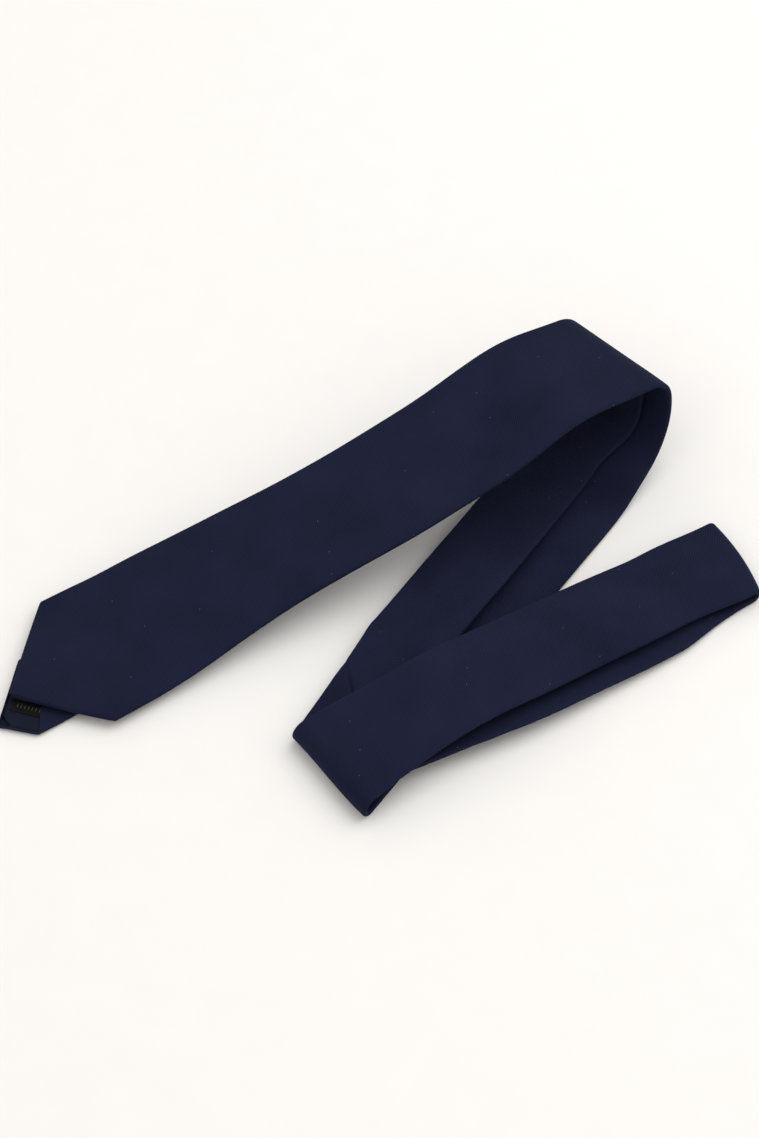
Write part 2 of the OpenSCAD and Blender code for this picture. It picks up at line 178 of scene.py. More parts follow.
def smooth(a, b, x):
    """The smoothstep 3tt - 2ttt of the share t of the way from a to b."""
    t = np.clip((x - a) / (b - a), 0, 1)
    return t * t * (3 - 2 * t)


def settled(p):
    """Cloth never lies dead flat. The lower fold leans a little, everything that lies
    together lifts in the same long low waves, and edges wander by a few tenths."""
    along_low, across_low = unit(LOW_WAY), unit(LOW_WAY + np.pi / 2)
    x = (p[..., :2] - low_from) @ along_low
    u = (p[..., :2] - low_from) @ across_low
    shift = LEAN * u * np.exp(-(x * x + u * u) / LEAN_REACH ** 2)
    p = p.copy()
    p[..., :2] += shift[..., None] * along_low
    east, north = p[..., 0], p[..., 1]
    wander = 0.35 * np.sin(north / 13 + 0.8 * np.sin(east / 29)) + 0.2 * np.sin(east / 7.3)
    waves = np.sin(east / 17 + 1.3) * np.sin(north / 14 - east / 41)
    p[..., 0] += 0.6 * wander
    p[..., 1] += 0.6 * wander * np.cos(east / 37)
    p[..., 2] += 0.55 * (0.5 + 0.5 * waves)
    return p


def place(s, v, n):
    """The point s along, v across and n out, on whichever side of the lower fold it is."""
    s, v, n = np.broadcast_arrays(s, v, n)
    bend = MID_WAY - LOW_WAY
    low = (s - LOW_FOLD) * np.cos(bend) + v * np.sin(bend) > 0
    under = laid(LOW_PROFILE, low_from, 0, LOW_WAY, MID_WAY, -1, -1, s - LOW_FOLD, v, n)
    over = laid(TOP_PROFILE, top_from, TIP_Z, TOP_WAY, BLADE_WAY, 1, 1, s - RISE_START, v, n)
    return settled(np.where(low[..., None], under, over))


# %% [markdown]
# ## The tie in the flat
# The tie narrows from blade to neck and widens again to the tail. Blade and tail lie back
# to back, so one distance between their fronts, which grows round the open loop, places
# both. A station is (s, skew, turn): where it is on the blade, how much s grows for each
# millimetre across, and 0 on the blade, 180 on the tail, or between them at the neck.

# %% Widths, side offsets and the distance between the two fronts
SHOULDER_W, LOOP_W, MID_W, ROLL_W, NECK_W = 68.5, 55.5, 49.0, 46.0, 40.0
TAIL_MID_W, TAIL_W, TAIL_SWAP = 33.5, 35.5, 400.0
POINT_LEN, TIP_SKEW, TAIL_POINT_SLOPE, TAIL_POINT_OFF = 30.5, 0.065, 1.04, -5.8
HEM_W, TAIL_MITRE, TACK_AT, TACK_L = 10.0, 12.0, 105.0, 7.0
SHELL_T, LINING_T, TIPPING_T, EASE = 0.4, 0.78, 0.3, 0.05
TIP_SWAY, SWAY, NECK_SWAY = 2.8, 2.5, 2.3
TAIL_OFF_TIP, TAIL_OFF_MID, TAIL_OFF_NECK = -2.0, 10.0, -7.0
LOOP_SHIFT = 6.0  # the tail slips this far to the side inside the loop
NO_POINT = 999.0  # wider than any run, for where no point cuts the width


def mix(a, b, t):
    return a + (b - a) * t


def full_half(s, turn):
    """Half the finished width away from the tips: the blade flares to its shoulders and
    narrows to the neck, and the tail widens a little at both its ends."""
    near = (mix(LOOP_W, MID_W, smooth(0.75 * LOOP_START, HALF_LEN / 2, s))
            + (SHOULDER_W - LOOP_W) * (1 - smooth(POINT_LEN / 2, 0.56 * LOOP_START, s)))
    middle = mix(MID_W, ROLL_W, (s - HALF_LEN / 2) / (LOW_FOLD - HALF_LEN / 2))
    far = mix(ROLL_W, NECK_W, smooth(LOW_FOLD, LOW_FOLD + 60, s))
    blade = np.where(s < HALF_LEN / 2, near, np.where(s < LOW_FOLD, middle, far)) / 2
    tail = np.where(s < TAIL_SWAP, mix(TAIL_W, TAIL_MID_W, smooth(60, TAIL_SWAP, s)),
                    mix(TAIL_MID_W, NECK_W, smooth(TAIL_SWAP, HALF_LEN, s))) / 2
    return np.where(turn == 180, tail, np.where(turn == 0, blade, NECK_W / 2))


def reach(s, turn, side):
    """How far the edge on one side, 1 or -1, is from the middle line: the full half width,
    or less where the point's slanting edge is nearer."""
    tail_point = TAIL_POINT_SLOPE * (s + TAIL_PAST) + side * TAIL_POINT_OFF
    blade_point = np.where(turn == 0, s * SHOULDER_W / 2 / POINT_LEN, NO_POINT)
    point = np.where(turn == 180, tail_point, blade_point)
    return np.minimum(full_half(s, turn), point)


def half_width(s, turn):
    return (reach(s, turn, 1) + reach(s, turn, -1)) / 2


def point_shift(s, turn):
    """The tail's point is a little to one side of its middle."""
    return (reach(s, turn, 1) - reach(s, turn, -1)) / 2


def tail_off(s):
    """How far the tail lies to the side of the blade."""
    tip_side = mix(TAIL_OFF_TIP, TAIL_OFF_MID, smooth(20, 360, s))
    tip_side = tip_side - LOOP_SHIFT * smooth(225, 290, s) * (1 - smooth(316, 350, s))
    neck_side = (mix(TAIL_OFF_MID, TAIL_OFF_NECK, smooth(LOW_FOLD - 58, LOW_FOLD + 112, s))
                 * (1 - smooth(HALF_LEN - 40, HALF_LEN, s)))
    return np.where(s < TAIL_SWAP, tip_side, neck_side)


def sway(s):
    """Blade and tail bow sideways: left near the tip, right before the loop, and left
    again along the neck part."""
    left = TIP_SWAY * smooth(-20, 57, s) * (1 - smooth(0.25 * LOOP_START, 0.67 * LOOP_START, s))
    right = (SWAY * smooth(0.37 * LOOP_START, 0.67 * LOOP_START, s)
             * (1 - smooth(0.77 * LOOP_START, LOOP_START, s)))
    neck = (NECK_SWAY * smooth(LOW_FOLD, ROLL_END + 15, s)
            * (1 - smooth(HALF_LEN - 30, HALF_LEN, s)))
    return left - right + neck


def pair_t(s):
    """From the front of the blade to the front of the tail, through both."""
    loose = smooth(LOOP_START - 40, LOOP_START, s)
    near = (2 * TIE_T + BACK_AIR + KEEPER_AIR * (1 - loose)
            + LOOP_AIR * loose * (1 - smooth(LOOP_END - 30, LOOP_END + 20, s)))
    top_z = along(LOW_PROFILE, (s - LOW_FOLD) * np.cos(MID_WAY - LOW_WAY))[1]
    under = mix(2 * ROLL_R - 2 * TIE_T - BACK_AIR, 0.1, smooth(ROLL_END + 45, HALF_LEN - 20, s))
    return np.where(s > ROLL_END + 2, top_z - under, near)


# %% [markdown]
# ## Softness
# A tie's front is fuller in its middle than at its rolled edges, because the wool inside
# springs back. Displacing a finished mesh could show this, but then the layers would cut
# through each other, so the fullness is a formula of place and depth that every layer
# shares: all of it at the front, none at the back where the pair touches.

# %% Fullness, dents and lifted edges
def bump_at(s, a, s0, a0, reach_s, reach_a):
    """A bell of height 1 round (s0, a0)."""
    return np.exp(-((s - s0) / reach_s) ** 2 - ((a - a0) / reach_a) ** 2)


BLADE_CROWN, NECK_CROWN, TAIL_CROWN = 0.9, 2.0, 0.5


def fullness(s, turn, share):
    """Extra height of the front: a crown, (1 - share squared) to the power 0.7, which is
    most in the middle of the width and none at the edges. The top of the loop has none."""
    taut = (smooth(LOOP_START - 30, LOOP_START - 8, s)
            * (1 - smooth(LOOP_START + 20, LOOP_START + 45, s)))
    blade = BLADE_CROWN * (1 - taut) * (1 - smooth(LOOP_END - 60, LOOP_END, s))
    neck = (NECK_CROWN * smooth(ROLL_END - 4, ROLL_END + 25, s)
            * (1 - smooth(HALF_LEN - 22, HALF_LEN - 2, s)))
    tail = TAIL_CROWN * smooth(LOOP_END, LOOP_END + 30, s) * (1 - smooth(470, 515, s))
    amount = np.where(turn == 0, blade + neck, np.where(turn == 180, tail, 0))
    return amount * (1 - share ** 2) ** 0.7


def lift(s, turn, share):
    """How the tail stands off where it lies alone between the folds: its two edges curl
    up from a long trough down its middle, the edge over the blade's side most, with
    wrinkles across it inside the loop. The neck part's near edge droops a little."""
    alone = smooth(325, 385, s) * (1 - smooth(500, 530, s))
    trough = 2.6 * np.abs(share - 0.1) ** 1.6 + 0.9 * smooth(0.2, 1, -share)
    ripples = 0.35 * (1 + np.sin(s / 8.5 + 1.2 * share)) * (1 - 0.5 * share ** 2)
    hollow = 1.0 - bump_at(s, share, 486, 0.25, 8, 0.35)
    wrinkle = (2.8 * bump_at(s, share, 326, -0.1, 7, 0.6)
               + 2.0 * bump_at(s, share, 352, 0.6, 8, 0.5)
               - 1.6 * bump_at(s, share, 340, 0.1, 6, 0.5)
               + 1.8 * bump_at(s, share, 372, -0.3, 13, 0.5))
    droop = 1.1 * bump_at(s, share, 645, -1.0, 45, 0.6)
    tail = np.where(turn == 180, alone * (trough + ripples) * hollow + wrinkle, 0)
    return tail - np.where((turn == 0) & (s > ROLL_END), droop, 0)


def dents(s, turn, share):
    """Shallow dents pressed into the front of the blade and the neck part."""
    neck = (1.3 * bump_at(s, share, 694, 0.45, 13, 0.35)
            + 0.8 * bump_at(s, share, 640, -0.1, 26, 0.3)
            + 0.9 * bump_at(s, share, 588, 0.6, 16, 0.4))
    blade = (0.5 * bump_at(s, share, 120, -0.1, 45, 0.35)
             + 0.4 * bump_at(s, share, 215, 0.3, 35, 0.4))
    return np.where(turn == 0, neck + blade, 0)


NECK_BULGE = 1.8  # the neck fold's end bows out this far in its middle
# The cloth stands up before the top fold: how far, where, and over what reach
LOOP_SWELL, LOOP_SWELL_AT, LOOP_SWELL_REACH = 3.0, 250.0, 26.0


def at(stations, across, deep):
    """Points across and deep from the front at stations (s, skew, turn). The front moves
    out by fullness less dents, scaled down to nothing at the back."""
    s0, skew, turn = (stations[:, k, None] for k in range(3))
    half = np.maximum(half_width(s0, turn), 1)
    share = np.clip((across - point_shift(s0, turn)) / half, -1, 1)
    v = across + sway(s0) + np.where(turn == 180, tail_off(s0), 0)
    bulge = NECK_BULGE * (1 - share ** 2) * smooth(HALF_LEN - 45, HALF_LEN, s0)
    s = s0 + skew * v + bulge
    front = fullness(s, turn, share) - np.minimum(dents(s, turn, share), 0.8 * TIE_T)
    deep = deep - front * (1 - deep / TIE_T) - lift(s, turn, share)
    g = pair_t(s - v * np.where(s > LOOP_END, LOW_SKEW, TOP_SKEW)) / 2
    angle = np.radians(turn)
    points = place(s + (g - deep) * np.sin(angle), v, (g - deep) * np.cos(angle) - g)
    points[..., 2] += LOOP_SWELL * np.exp(-((s - LOOP_SWELL_AT) / LOOP_SWELL_REACH) ** 2)
    return points


def spaced(a, b, step, skew_a, skew_b, turn):
    """Stations about a step apart from a to b, the skew changing smoothly between."""
    n = max(2, int(np.ceil(abs(b - a) / step)) + 1)
    t = np.linspace(0, 1, n)
    skew = mix(skew_a, skew_b, t * t * (3 - 2 * t))
    return np.stack([mix(a, b, t), skew, np.full(n, float(turn))], axis=1)


def joined(*runs):
    """Runs of stations end to end, each without the station it shares with the last."""
    return np.concatenate([runs[0]] + [r[1:] for r in runs[1:]])


# %% [markdown]
# ## Meshes from grids
# Each piece is a ring of points carried along the stations, which is a grid, so its faces
# follow from its row and column numbers alone. The UV map keeps millimetres across and
# along the cloth, so a weave keeps its real size and its 45 degree bias on every piece.

# %% From a grid of points to a piece
def grid_faces(rows, columns, closed):
    """Quads between neighbouring rows and columns, wrapping round when closed."""
    r, c = np.meshgrid(np.arange(rows - 1), np.arange(columns if closed else columns - 1),
                       indexing="ij")
    k = (c + 1) % columns
    return np.stack([r * columns + c, r * columns + k, (r + 1) * columns + k,
                     (r + 1) * columns + c], axis=-1).reshape(-1, 4)


def cap_faces(columns, start, flip):
    """A cap across a ring whose second half runs back beside its first half."""
    j = np.arange(columns // 2 - 1)
    k = columns - 1 - j
    quads = np.stack([j, k, k - 1, j + 1], axis=1) + start
    return quads[:, ::-1] if flip else quads


def signed_volume(points, quads):
    """Six times the volume inside: the sum over triangles of a . (b x c)."""
    total = 0.0
    for a, b, c in ((0, 1, 2), (0, 2, 3)):
        p, q, r = points[quads[:, a]], points[quads[:, b]], points[quads[:, c]]
        total += float((p * np.cross(q, r)).sum())
    return total


def make_piece(name, points, quads, uv, material, sharp_from=None):
    """A mesh in metres with outward quads, smooth but for those from sharp_from on."""
    points = points.reshape(-1, 3) * MM
    if signed_volume(points, quads) < 0:
        quads = quads[:, ::-1]
    mesh = bpy.data.meshes.new(name)
    mesh.from_pydata(points, [], quads)
    flat = np.ones(len(quads), bool)
    if sharp_from is not None:
        flat[sharp_from:] = False
    mesh.polygons.foreach_set("use_smooth", flat)
    layer = mesh.uv_layers.new(name="cloth_mm")
    layer.data.foreach_set("uv", uv.reshape(-1, 2)[quads.ravel()].astype(np.float32).ravel())
    mesh.validate()
    mesh.update()
    if sharp_from is not None:
        mark_rims(mesh)
    piece = bpy.data.objects.new(name, mesh)
    bpy.context.collection.objects.link(piece)
    piece.data.materials.append(material)
    return piece


def mark_rims(mesh):
    """Edges between a smooth face and a flat one are sharp, so caps don't shade sides."""
    loops = np.empty(len(mesh.loops), np.int32)
    mesh.loops.foreach_get("edge_index", loops)
    sizes = np.empty(len(mesh.polygons), np.int32)
    mesh.polygons.foreach_get("loop_total", sizes)
    flag = np.empty(len(mesh.polygons), bool)
    mesh.polygons.foreach_get("use_smooth", flag)
    per_loop = np.repeat(flag, sizes)
    smooth_uses = np.bincount(loops[per_loop], minlength=len(mesh.edges))
    flat_uses = np.bincount(loops[~per_loop], minlength=len(mesh.edges))
    sharp = (smooth_uses > 0) & (flat_uses > 0)
    attribute = mesh.attributes.new("sharp_edge", "BOOLEAN", "EDGE")
    attribute.data.foreach_set("value", sharp)


def ring_piece(name, rings, uv, material):
    """A closed tube of rings [station, point] with a cap across each end."""
    rows, columns = rings.shape[:2]
    sides = grid_faces(rows, columns, True)
    caps = np.concatenate([cap_faces(columns, 0, False),
                           cap_faces(columns, (rows - 1) * columns, True)])
    quads = np.concatenate([sides, caps])
    return make_piece(name, rings, quads, uv, material, sharp_from=len(sides))


# %% [markdown]
# ## Cloth materials
# The shell is a worsted wool and silk twill: matt, deep navy, with fine diagonal ribs that
# run at 45 degrees to the bias. Sheen stands for the loose fibre ends that catch grazing
# light, and roughness stays high, because twill has no clear reflection. An image could
# give the weave, but a wave along the cloth's own UV map stays sharp and to scale.

# %% Colours and nodes
def linear(hex_colour):
    """An sRGB hex colour as linear light: ((c + 0.055) / 1.055) to the power 2.4."""
    c = np.array([int(hex_colour[k:k + 2], 16) for k in (1, 3, 5)]) / 255
    rgb = np.where(c <= 0.04045, c / 12.92, ((c + 0.055) / 1.055) ** 2.4)
    return tuple(rgb) + (1.0,)


def add(tree, kind, settings=None, links=None):
    """A node of that kind. Settings are its attributes, or the values of its inputs by
    name or number; links join its inputs to other nodes' outputs."""
    made = tree.nodes.new(kind)
    for key, value in (settings or {}).items():
        if isinstance(key, str) and hasattr(made, key):
            setattr(made, key, value)
        else:
            made.inputs[key].default_value = value
    for key, source in (links or {}).items():
        tree.links.new(source, made.inputs[key])
    return made


def new_material(name):
    material = bpy.data.materials.new(name)
    material.use_nodes = True
    material.node_tree.nodes.clear()
    return material, material.node_tree


WAVE_PERIOD = 0.31416  # a Bands wave of scale 1 repeats every pi / 10
LINT_EACH_MM, LINT_MM = 0.035, 0.3  # specks of lint, one to each 29 mm square, this big


def cloth(name, dark, light, rib_mm, roughness, sheen, bump_mm, sheen_tint, angle=45.0):
    """Woven cloth: ribs rib_mm apart at an angle to the tie, crossed by finer threads,
    between two tones, with a slow drift of tone and scattered paler fibres."""
    material, tree = new_material(name)
    uv = add(tree, "ShaderNodeUVMap", {"uv_map": "cloth_mm"}).outputs["UV"]
    turned = add(tree, "ShaderNodeMapping", {"Rotation": (0, 0, np.radians(angle))},
                 {"Vector": uv}).outputs[0]
    ribs = add(tree, "ShaderNodeTexWave",
               {"bands_direction": "X", "Scale": WAVE_PERIOD / rib_mm, "Distortion": 0.6,
                "Detail": 1.0, "Detail Scale": 0.5}, {"Vector": turned})
    threads = add(tree, "ShaderNodeTexWave",
                  {"bands_direction": "Y", "Scale": WAVE_PERIOD / (0.7 * rib_mm),
                   "Distortion": 0.4, "Detail": 1.0}, {"Vector": turned})
    weave = add(tree, "ShaderNodeMath", {"operation": "MULTIPLY_ADD", 1: 0.35},
                {0: threads.outputs["Fac"], 2: ribs.outputs["Fac"]})
    drift = add(tree, "ShaderNodeTexNoise", {"Scale": 0.035, "Detail": 3.0}, {"Vector": uv})
    fuzz = add(tree, "ShaderNodeTexNoise", {"Scale": 1.1, "Detail": 3.0, "Roughness": 0.7},
               {"Vector": uv})
    tone = add(tree, "ShaderNodeMath", {"operation": "MULTIPLY_ADD", 1: 0.45},
               {0: weave.outputs[0], 2: drift.outputs["Fac"]})
    level = add(tree, "ShaderNodeMapRange", {"From Min": 0.15, "From Max": 1.25},
                {"Value": tone.outputs[0]})
    colour = add(tree, "ShaderNodeMix", {"data_type": "RGBA", 6: linear(dark), 7: linear(light)},
                 {0: level.outputs[0]})
    cells = add(tree, "ShaderNodeTexVoronoi", {"voronoi_dimensions": "2D", "Scale": LINT_EACH_MM},
                {"Vector": uv})
    speck = add(tree, "ShaderNodeMapRange",
                {"From Min": LINT_MM * LINT_EACH_MM, "From Max": 0.3 * LINT_MM * LINT_EACH_MM,
                 "To Max": 0.6}, {"Value": cells.outputs["Distance"]})
    linted = add(tree, "ShaderNodeMix", {"data_type": "RGBA", 7: linear("#5d607a")},
                 {0: speck.outputs[0], 6: colour.outputs[2]})
    height = add(tree, "ShaderNodeMath", {"operation": "MULTIPLY_ADD", 1: 0.5},
                 {0: fuzz.outputs["Fac"], 2: weave.outputs[0]})
    bump = add(tree, "ShaderNodeBump", {"Strength": 0.6, "Distance": bump_mm * MM},
               {"Height": height.outputs[0]})
    shader = add(tree, "ShaderNodeBsdfPrincipled",
                 {"Roughness": roughness, "IOR": 1.45, "Specular IOR Level": 0.07,
                  "Sheen Weight": sheen, "Sheen Roughness": 0.45,
                  "Sheen Tint": linear(sheen_tint)},
                 {"Base Color": linted.outputs[2], "Normal": bump.outputs[0]})
    add(tree, "ShaderNodeOutputMaterial", links={"Surface": shader.outputs[0]})
    return material


# Real twill ribs are about 0.4 mm apart, too fine to show, so they are drawn at 0.9 mm.
NAVY_TWILL = cloth("navy_twill_cloth", "#0f1224", "#20233b", 0.9, 0.8, 0.03, 0.10, "#8a93c0")
# Satin lining: long floats, so it is smoother, with ribs along the straight grain.
NAVY_SATIN = cloth("navy_satin_lining", "#10131f", "#181c2d", 0.8, 0.5, 0.02, 0.03, "#8a93c0", 0.0)
# Interlining: undyed brushed wool and cotton, loose and matt.
WOOL = cloth("wool_interlining_cloth", "#cfc8b6", "#ded8c8", 1.6, 0.9, 0.3, 0.15, "#ffffff", 0.0)
# Polyester sewing thread: a tight twist with a slight gloss.
THREAD = cloth("navy_sewing_thread", "#101322", "#1b1f33", 0.5, 0.6, 0.03, 0.04, "#8a93c0", 30.0)
# Woven satin label ground, black, with flat warp floats.
LABEL = cloth("black_label_satin", "#0b0b0c", "#161616", 0.5, 0.5, 0.02, 0.03, "#b0b0b0", 0.0)
# Metallic weft thread of the label's bars, an old dull gold.
GOLD = cloth("dull_gold_weft", "#33322a", "#5a584b", 0.4, 0.5, 0.02, 0.05, "#c0b890", 60.0)
print("materials", [m.name for m in bpy.data.materials])

# %% [markdown]
# ## The shell: one sleeve of cloth, in pieces that meet at the folds and seams
# The shell's section starts at one turned edge in the middle of the back, goes round the
# rolled edge, across the front, round the other edge and back to the middle. It could be
# a single sheet with Solidify, but the inner side then bunches in the tight rolls, so the
# inner path is drawn with the outer one, a cloth's thickness inside it.

# %% The shell's section
EDGE_T = np.linspace(-90, 90, 11)
FRONT = np.linspace(-1, 1, 33)
BACK = np.linspace(0, 1, 9)


def flap_width(s, turn, half):
    """How far the turned edges reach in over the back: a hem at the tip, which on the tail
    starts at a mitre, and wider until both meet in the middle at the bar tack."""
    d = np.where(turn == 180, s + TAIL_PAST, s)
    hem = np.where(turn == 180, np.clip(1.6 * (d - TAIL_MITRE), 0.5, HEM_W), HEM_W)
    edges = mix(hem, half, smooth(SHOULDER_W / 3, TACK_AT, d))
    return np.minimum(half - 0.3, np.where((turn > 0) & (turn < 180), half, edges))


def section_path(half, flap, inset):
    """Across and deep along the shell's path, a given inset inside it: a half ellipse
    round each edge, straight stretches for the back and front between."""
    r = TIE_T / 2
    wide = np.minimum(1, 0.4 * half / r) * r
    angle = np.radians(EDGE_T)
    edge_a = half - wide + wide * (r - inset) / r * np.cos(angle)
    edge_b = np.broadcast_to(r + (r - inset) * np.sin(angle), edge_a.shape)
    front_a = (half - wide) * FRONT[1:-1]
    back_a = mix(half - flap, np.maximum(half - wide, half - flap + 0.01), BACK[:-1])
    flat = np.ones_like
    across = np.concatenate([-back_a, -edge_a[:, ::-1], front_a, edge_a, back_a[:, ::-1]], axis=1)
    deep = np.concatenate([flat(back_a) * (TIE_T - inset), edge_b[:, ::-1], flat(front_a) * inset,
                           edge_b, flat(back_a) * (TIE_T - inset)], axis=1)
    return across, deep


def tucked(stations, deep, ends):
    """Where two shell pieces are seamed, their last millimetre turns down into the seam."""
    s = stations[:, 0]
    dip = sum(0.5 * np.exp(-((s - s[k]) / 0.9) ** 2) for k in ends) if ends else 0 * s
    return deep + dip[:, None] * (1 - deep / TIE_T)


def shell(name, stations, ends=()):
    """A shell piece along the stations; ends are those, 0 or -1, that end in a seam."""
    s, turn = stations[:, :1], stations[:, 2:]
    half = half_width(s, turn)
    flap = flap_width(s, turn, half)
    shift = point_shift(s, turn)
    outer_a, outer_b = section_path(half, flap, 0.0)
    inner_a, inner_b = section_path(half, flap, SHELL_T)
    across = np.concatenate([outer_a, inner_a[:, ::-1]], axis=1)
    deep = tucked(stations, np.concatenate([outer_b, inner_b[:, ::-1]], axis=1), ends)
    rings = at(stations, across + shift, deep)
    columns = outer_a.shape[1]
    walk = np.concatenate([np.zeros((len(s), 1)), np.cumsum(np.hypot(
        np.diff(outer_a, axis=1), np.diff(outer_b, axis=1)), axis=1)], axis=1)
    walk = walk - walk[:, columns // 2, None]
    u = np.concatenate([walk, walk[:, ::-1]], axis=1)
    length = s + TAIL_PAST + np.where(turn == 180, 900, 0)
    uv = np.stack([u, np.broadcast_to(length, u.shape) + stations[:, 1:2] * across], axis=-1)
    piece = ring_piece(name, rings, uv, NAVY_TWILL)
    return piece


# %% Stations of each piece
STEP = 2.5
BLADE_SEAM, TAIL_SEAM = LOW_FOLD - 48, LOW_FOLD - 15


def fine(a, b, n, skew_a, skew_b, turn):
    return spaced(a, b, abs(b - a) / n, skew_a, skew_b, turn)


def tip_run(start, turn, skew):
    """Stations from a tip, close together at the point and along its slanting edges, then
    turning to the skew of the fold."""
    return joined(fine(start + 0.5, start + 5, 8, skew, skew, turn),
                  spaced(start + 5, start + POINT_LEN, 1.2, skew, skew, turn),
                  spaced(start + POINT_LEN, RISE_START + 36, 1.8, skew, TOP_SKEW, turn))


def back_to_front(stations):
    return stations[::-1]


blade_run = joined(tip_run(0, 0, TIP_SKEW),
                   spaced(RISE_START + 36, LOOP_START, STEP, TOP_SKEW, TOP_SKEW, 0))
loop_run = spaced(LOOP_START, LOOP_END, 1.2, TOP_SKEW, TOP_SKEW, 0)
upper_run = joined(spaced(LOOP_END, LOOP_END + 40, STEP, TOP_SKEW, 0, 0),
                   spaced(LOOP_END + 40, BLADE_SEAM - 40, STEP, 0, 0, 0),
                   spaced(BLADE_SEAM - 40, BLADE_SEAM - 6, STEP, 0, 1, 0),
                   fine(BLADE_SEAM - 6, BLADE_SEAM, 8, 1, 1, 0))
outer_run = joined(fine(BLADE_SEAM, BLADE_SEAM + 6, 8, 1, 1, 0),
                   spaced(BLADE_SEAM + 6, LOW_FOLD - 3, STEP, 1, LOW_SKEW, 0),
                   spaced(LOW_FOLD - 3, ROLL_END, 0.8, LOW_SKEW, LOW_SKEW, 0))
inner_run = joined(fine(TAIL_SEAM, TAIL_SEAM + 4, 6, -1, -0.7, 180),
                   spaced(TAIL_SEAM + 4, LOW_FOLD - 3, 1.5, -0.7, LOW_SKEW, 180),
                   spaced(LOW_FOLD - 3, ROLL_END, 0.5, LOW_SKEW, LOW_SKEW, 180))
neck_half = spaced(ROLL_END, HALF_LEN, STEP, LOW_SKEW, NECK_SKEW, 0)
turns = np.arange(11.25, 180, 11.25)
neck_turn = np.stack([0 * turns + HALF_LEN, 0 * turns + NECK_SKEW, turns], axis=1)
neck_tail = neck_half * [1, 1, 0] + [0, 0, 180]
neck_run = np.concatenate([neck_half, neck_turn, back_to_front(neck_tail)])
tail_upper = joined(spaced(LOOP_END, TAIL_SEAM - 60, 1.8, TOP_SKEW, 0, 180),
                    spaced(TAIL_SEAM - 60, TAIL_SEAM - 6, 1.8, 0, -1, 180),
                    fine(TAIL_SEAM - 6, TAIL_SEAM, 8, -1, -1, 180))
tail_run = joined(tip_run(-TAIL_PAST, 180, 0),
                  spaced(RISE_START + 36, LOOP_START, STEP, TOP_SKEW, TOP_SKEW, 180),
                  spaced(LOOP_START, LOOP_END, 1.2, TOP_SKEW, TOP_SKEW, 180), tail_upper)

# %% Shell pieces
blade_shell = shell("blade_shell_cloth", blade_run)
loop_shell = shell("blade_shell_fold_cloth", loop_run)
upper_shell = shell("blade_shell_upper_cloth", upper_run, ends=(-1,))
outer_shell = shell("neck_shell_outer_roll", outer_run, ends=(0,))
inner_shell = shell("neck_shell_inner_roll", back_to_front(inner_run), ends=(-1,))
neck_shell = shell("neck_shell_cloth", neck_run)
tail_shell = shell("tail_shell_cloth", back_to_front(tail_run), ends=(0,))

# %% [markdown]
# ## Inside and trim
# Interlining and tipping are flat strips that share the shell's formula, a layer deeper,
# so they follow every wave of the shell and never show through it.

# %% Strips inside the shell
LINING_B = SHELL_T + EASE
TIPPING_B = LINING_B + LINING_T + EASE
TRIM_IN = SHELL_T + TIE_T / 3


def strip(name, stations, top, bottom, trim, material, half=None, columns=25, round_mm=0.0):
    """A flat strip from depth top to bottom, trim short of the edges or half wide."""
    s, turn = stations[:, :1], stations[:, 2:]
    width = np.maximum(half_width(s, turn) - trim, 0.4) if half is None else np.full_like(s, half)
    share = np.linspace(-1, 1, columns)
    across = width * share
    thin = round_mm * (np.abs(share) ** 8)
    shift = point_shift(s, turn)
    upper = at(stations, across + shift, np.broadcast_to(top + thin, across.shape))
    lower = at(stations, across + shift, np.broadcast_to(bottom - thin, across.shape))
    rings = np.concatenate([upper, lower[:, ::-1]], axis=1)
    u = np.concatenate([across, across[:, ::-1]], axis=1)
    uv = np.stack([u, np.broadcast_to(s, u.shape)], axis=-1)
    piece = ring_piece(name, rings, uv, material)
    return piece, across, upper


SEAM_CLEAR = 2.5


def lining(name, stations):
    """Wool strip inside a run. It stops SEAM_CLEAR short of its side's seam."""
    seam = np.where(stations[:, 2] == 180, TAIL_SEAM, BLADE_SEAM)
    stations = stations[np.abs(stations[:, 0] - seam) > SEAM_CLEAR]
    piece, across, upper = strip(name, stations, LINING_B, LINING_B + LINING_T, TRIM_IN, WOOL)
    return piece


def from_tip(stations):
    """Distance of each station from the tip of its own side."""
    return np.where(stations[:, 2] == 180, stations[:, 0] + TAIL_PAST, stations[:, 0])


def part(stations, d0, d1):
    d = from_tip(stations)
    return stations[(d > d0) & (d < d1)]


LINING_FROM, TIPPING_FROM = 10.0, 4.0
blade_lining = lining("blade_interlining_cloth", part(blade_run, LINING_FROM, 999))
loop_lining = lining("blade_interlining_fold_cloth", loop_run)
upper_lining = lining("blade_interlining_upper_cloth", upper_run)
outer_lining = lining("neck_interlining_outer_roll", outer_run)
inner_lining = lining("neck_interlining_inner_roll", inner_run)
neck_lining = lining("neck_interlining_cloth", neck_run)
tail_lining = lining("tail_interlining_cloth", part(tail_run, LINING_FROM, 999))


def tipping(name, stations):
    """Satin over the inside of the open tip, from the hem to past the bar tack."""
    rows = part(stations, TIPPING_FROM, TACK_AT + 2 * TACK_L)
    piece, across, upper = strip(name, rows, TIPPING_B, TIPPING_B + TIPPING_T,
                                 TRIM_IN + EASE, NAVY_SATIN)
    return piece


blade_tipping = tipping("blade_tipping_satin", blade_run)
tail_tipping = tipping("tail_tipping_satin", tail_run)

# %% [markdown]
# ## Thread
# One long slip stitch closes the turned edges down the back. On the real tie it is a
# single loose thread that crosses the opening from side to side, so it is drawn as a thin
# tube along a wave. The bar tack is the same thread crossing many times on one spot.

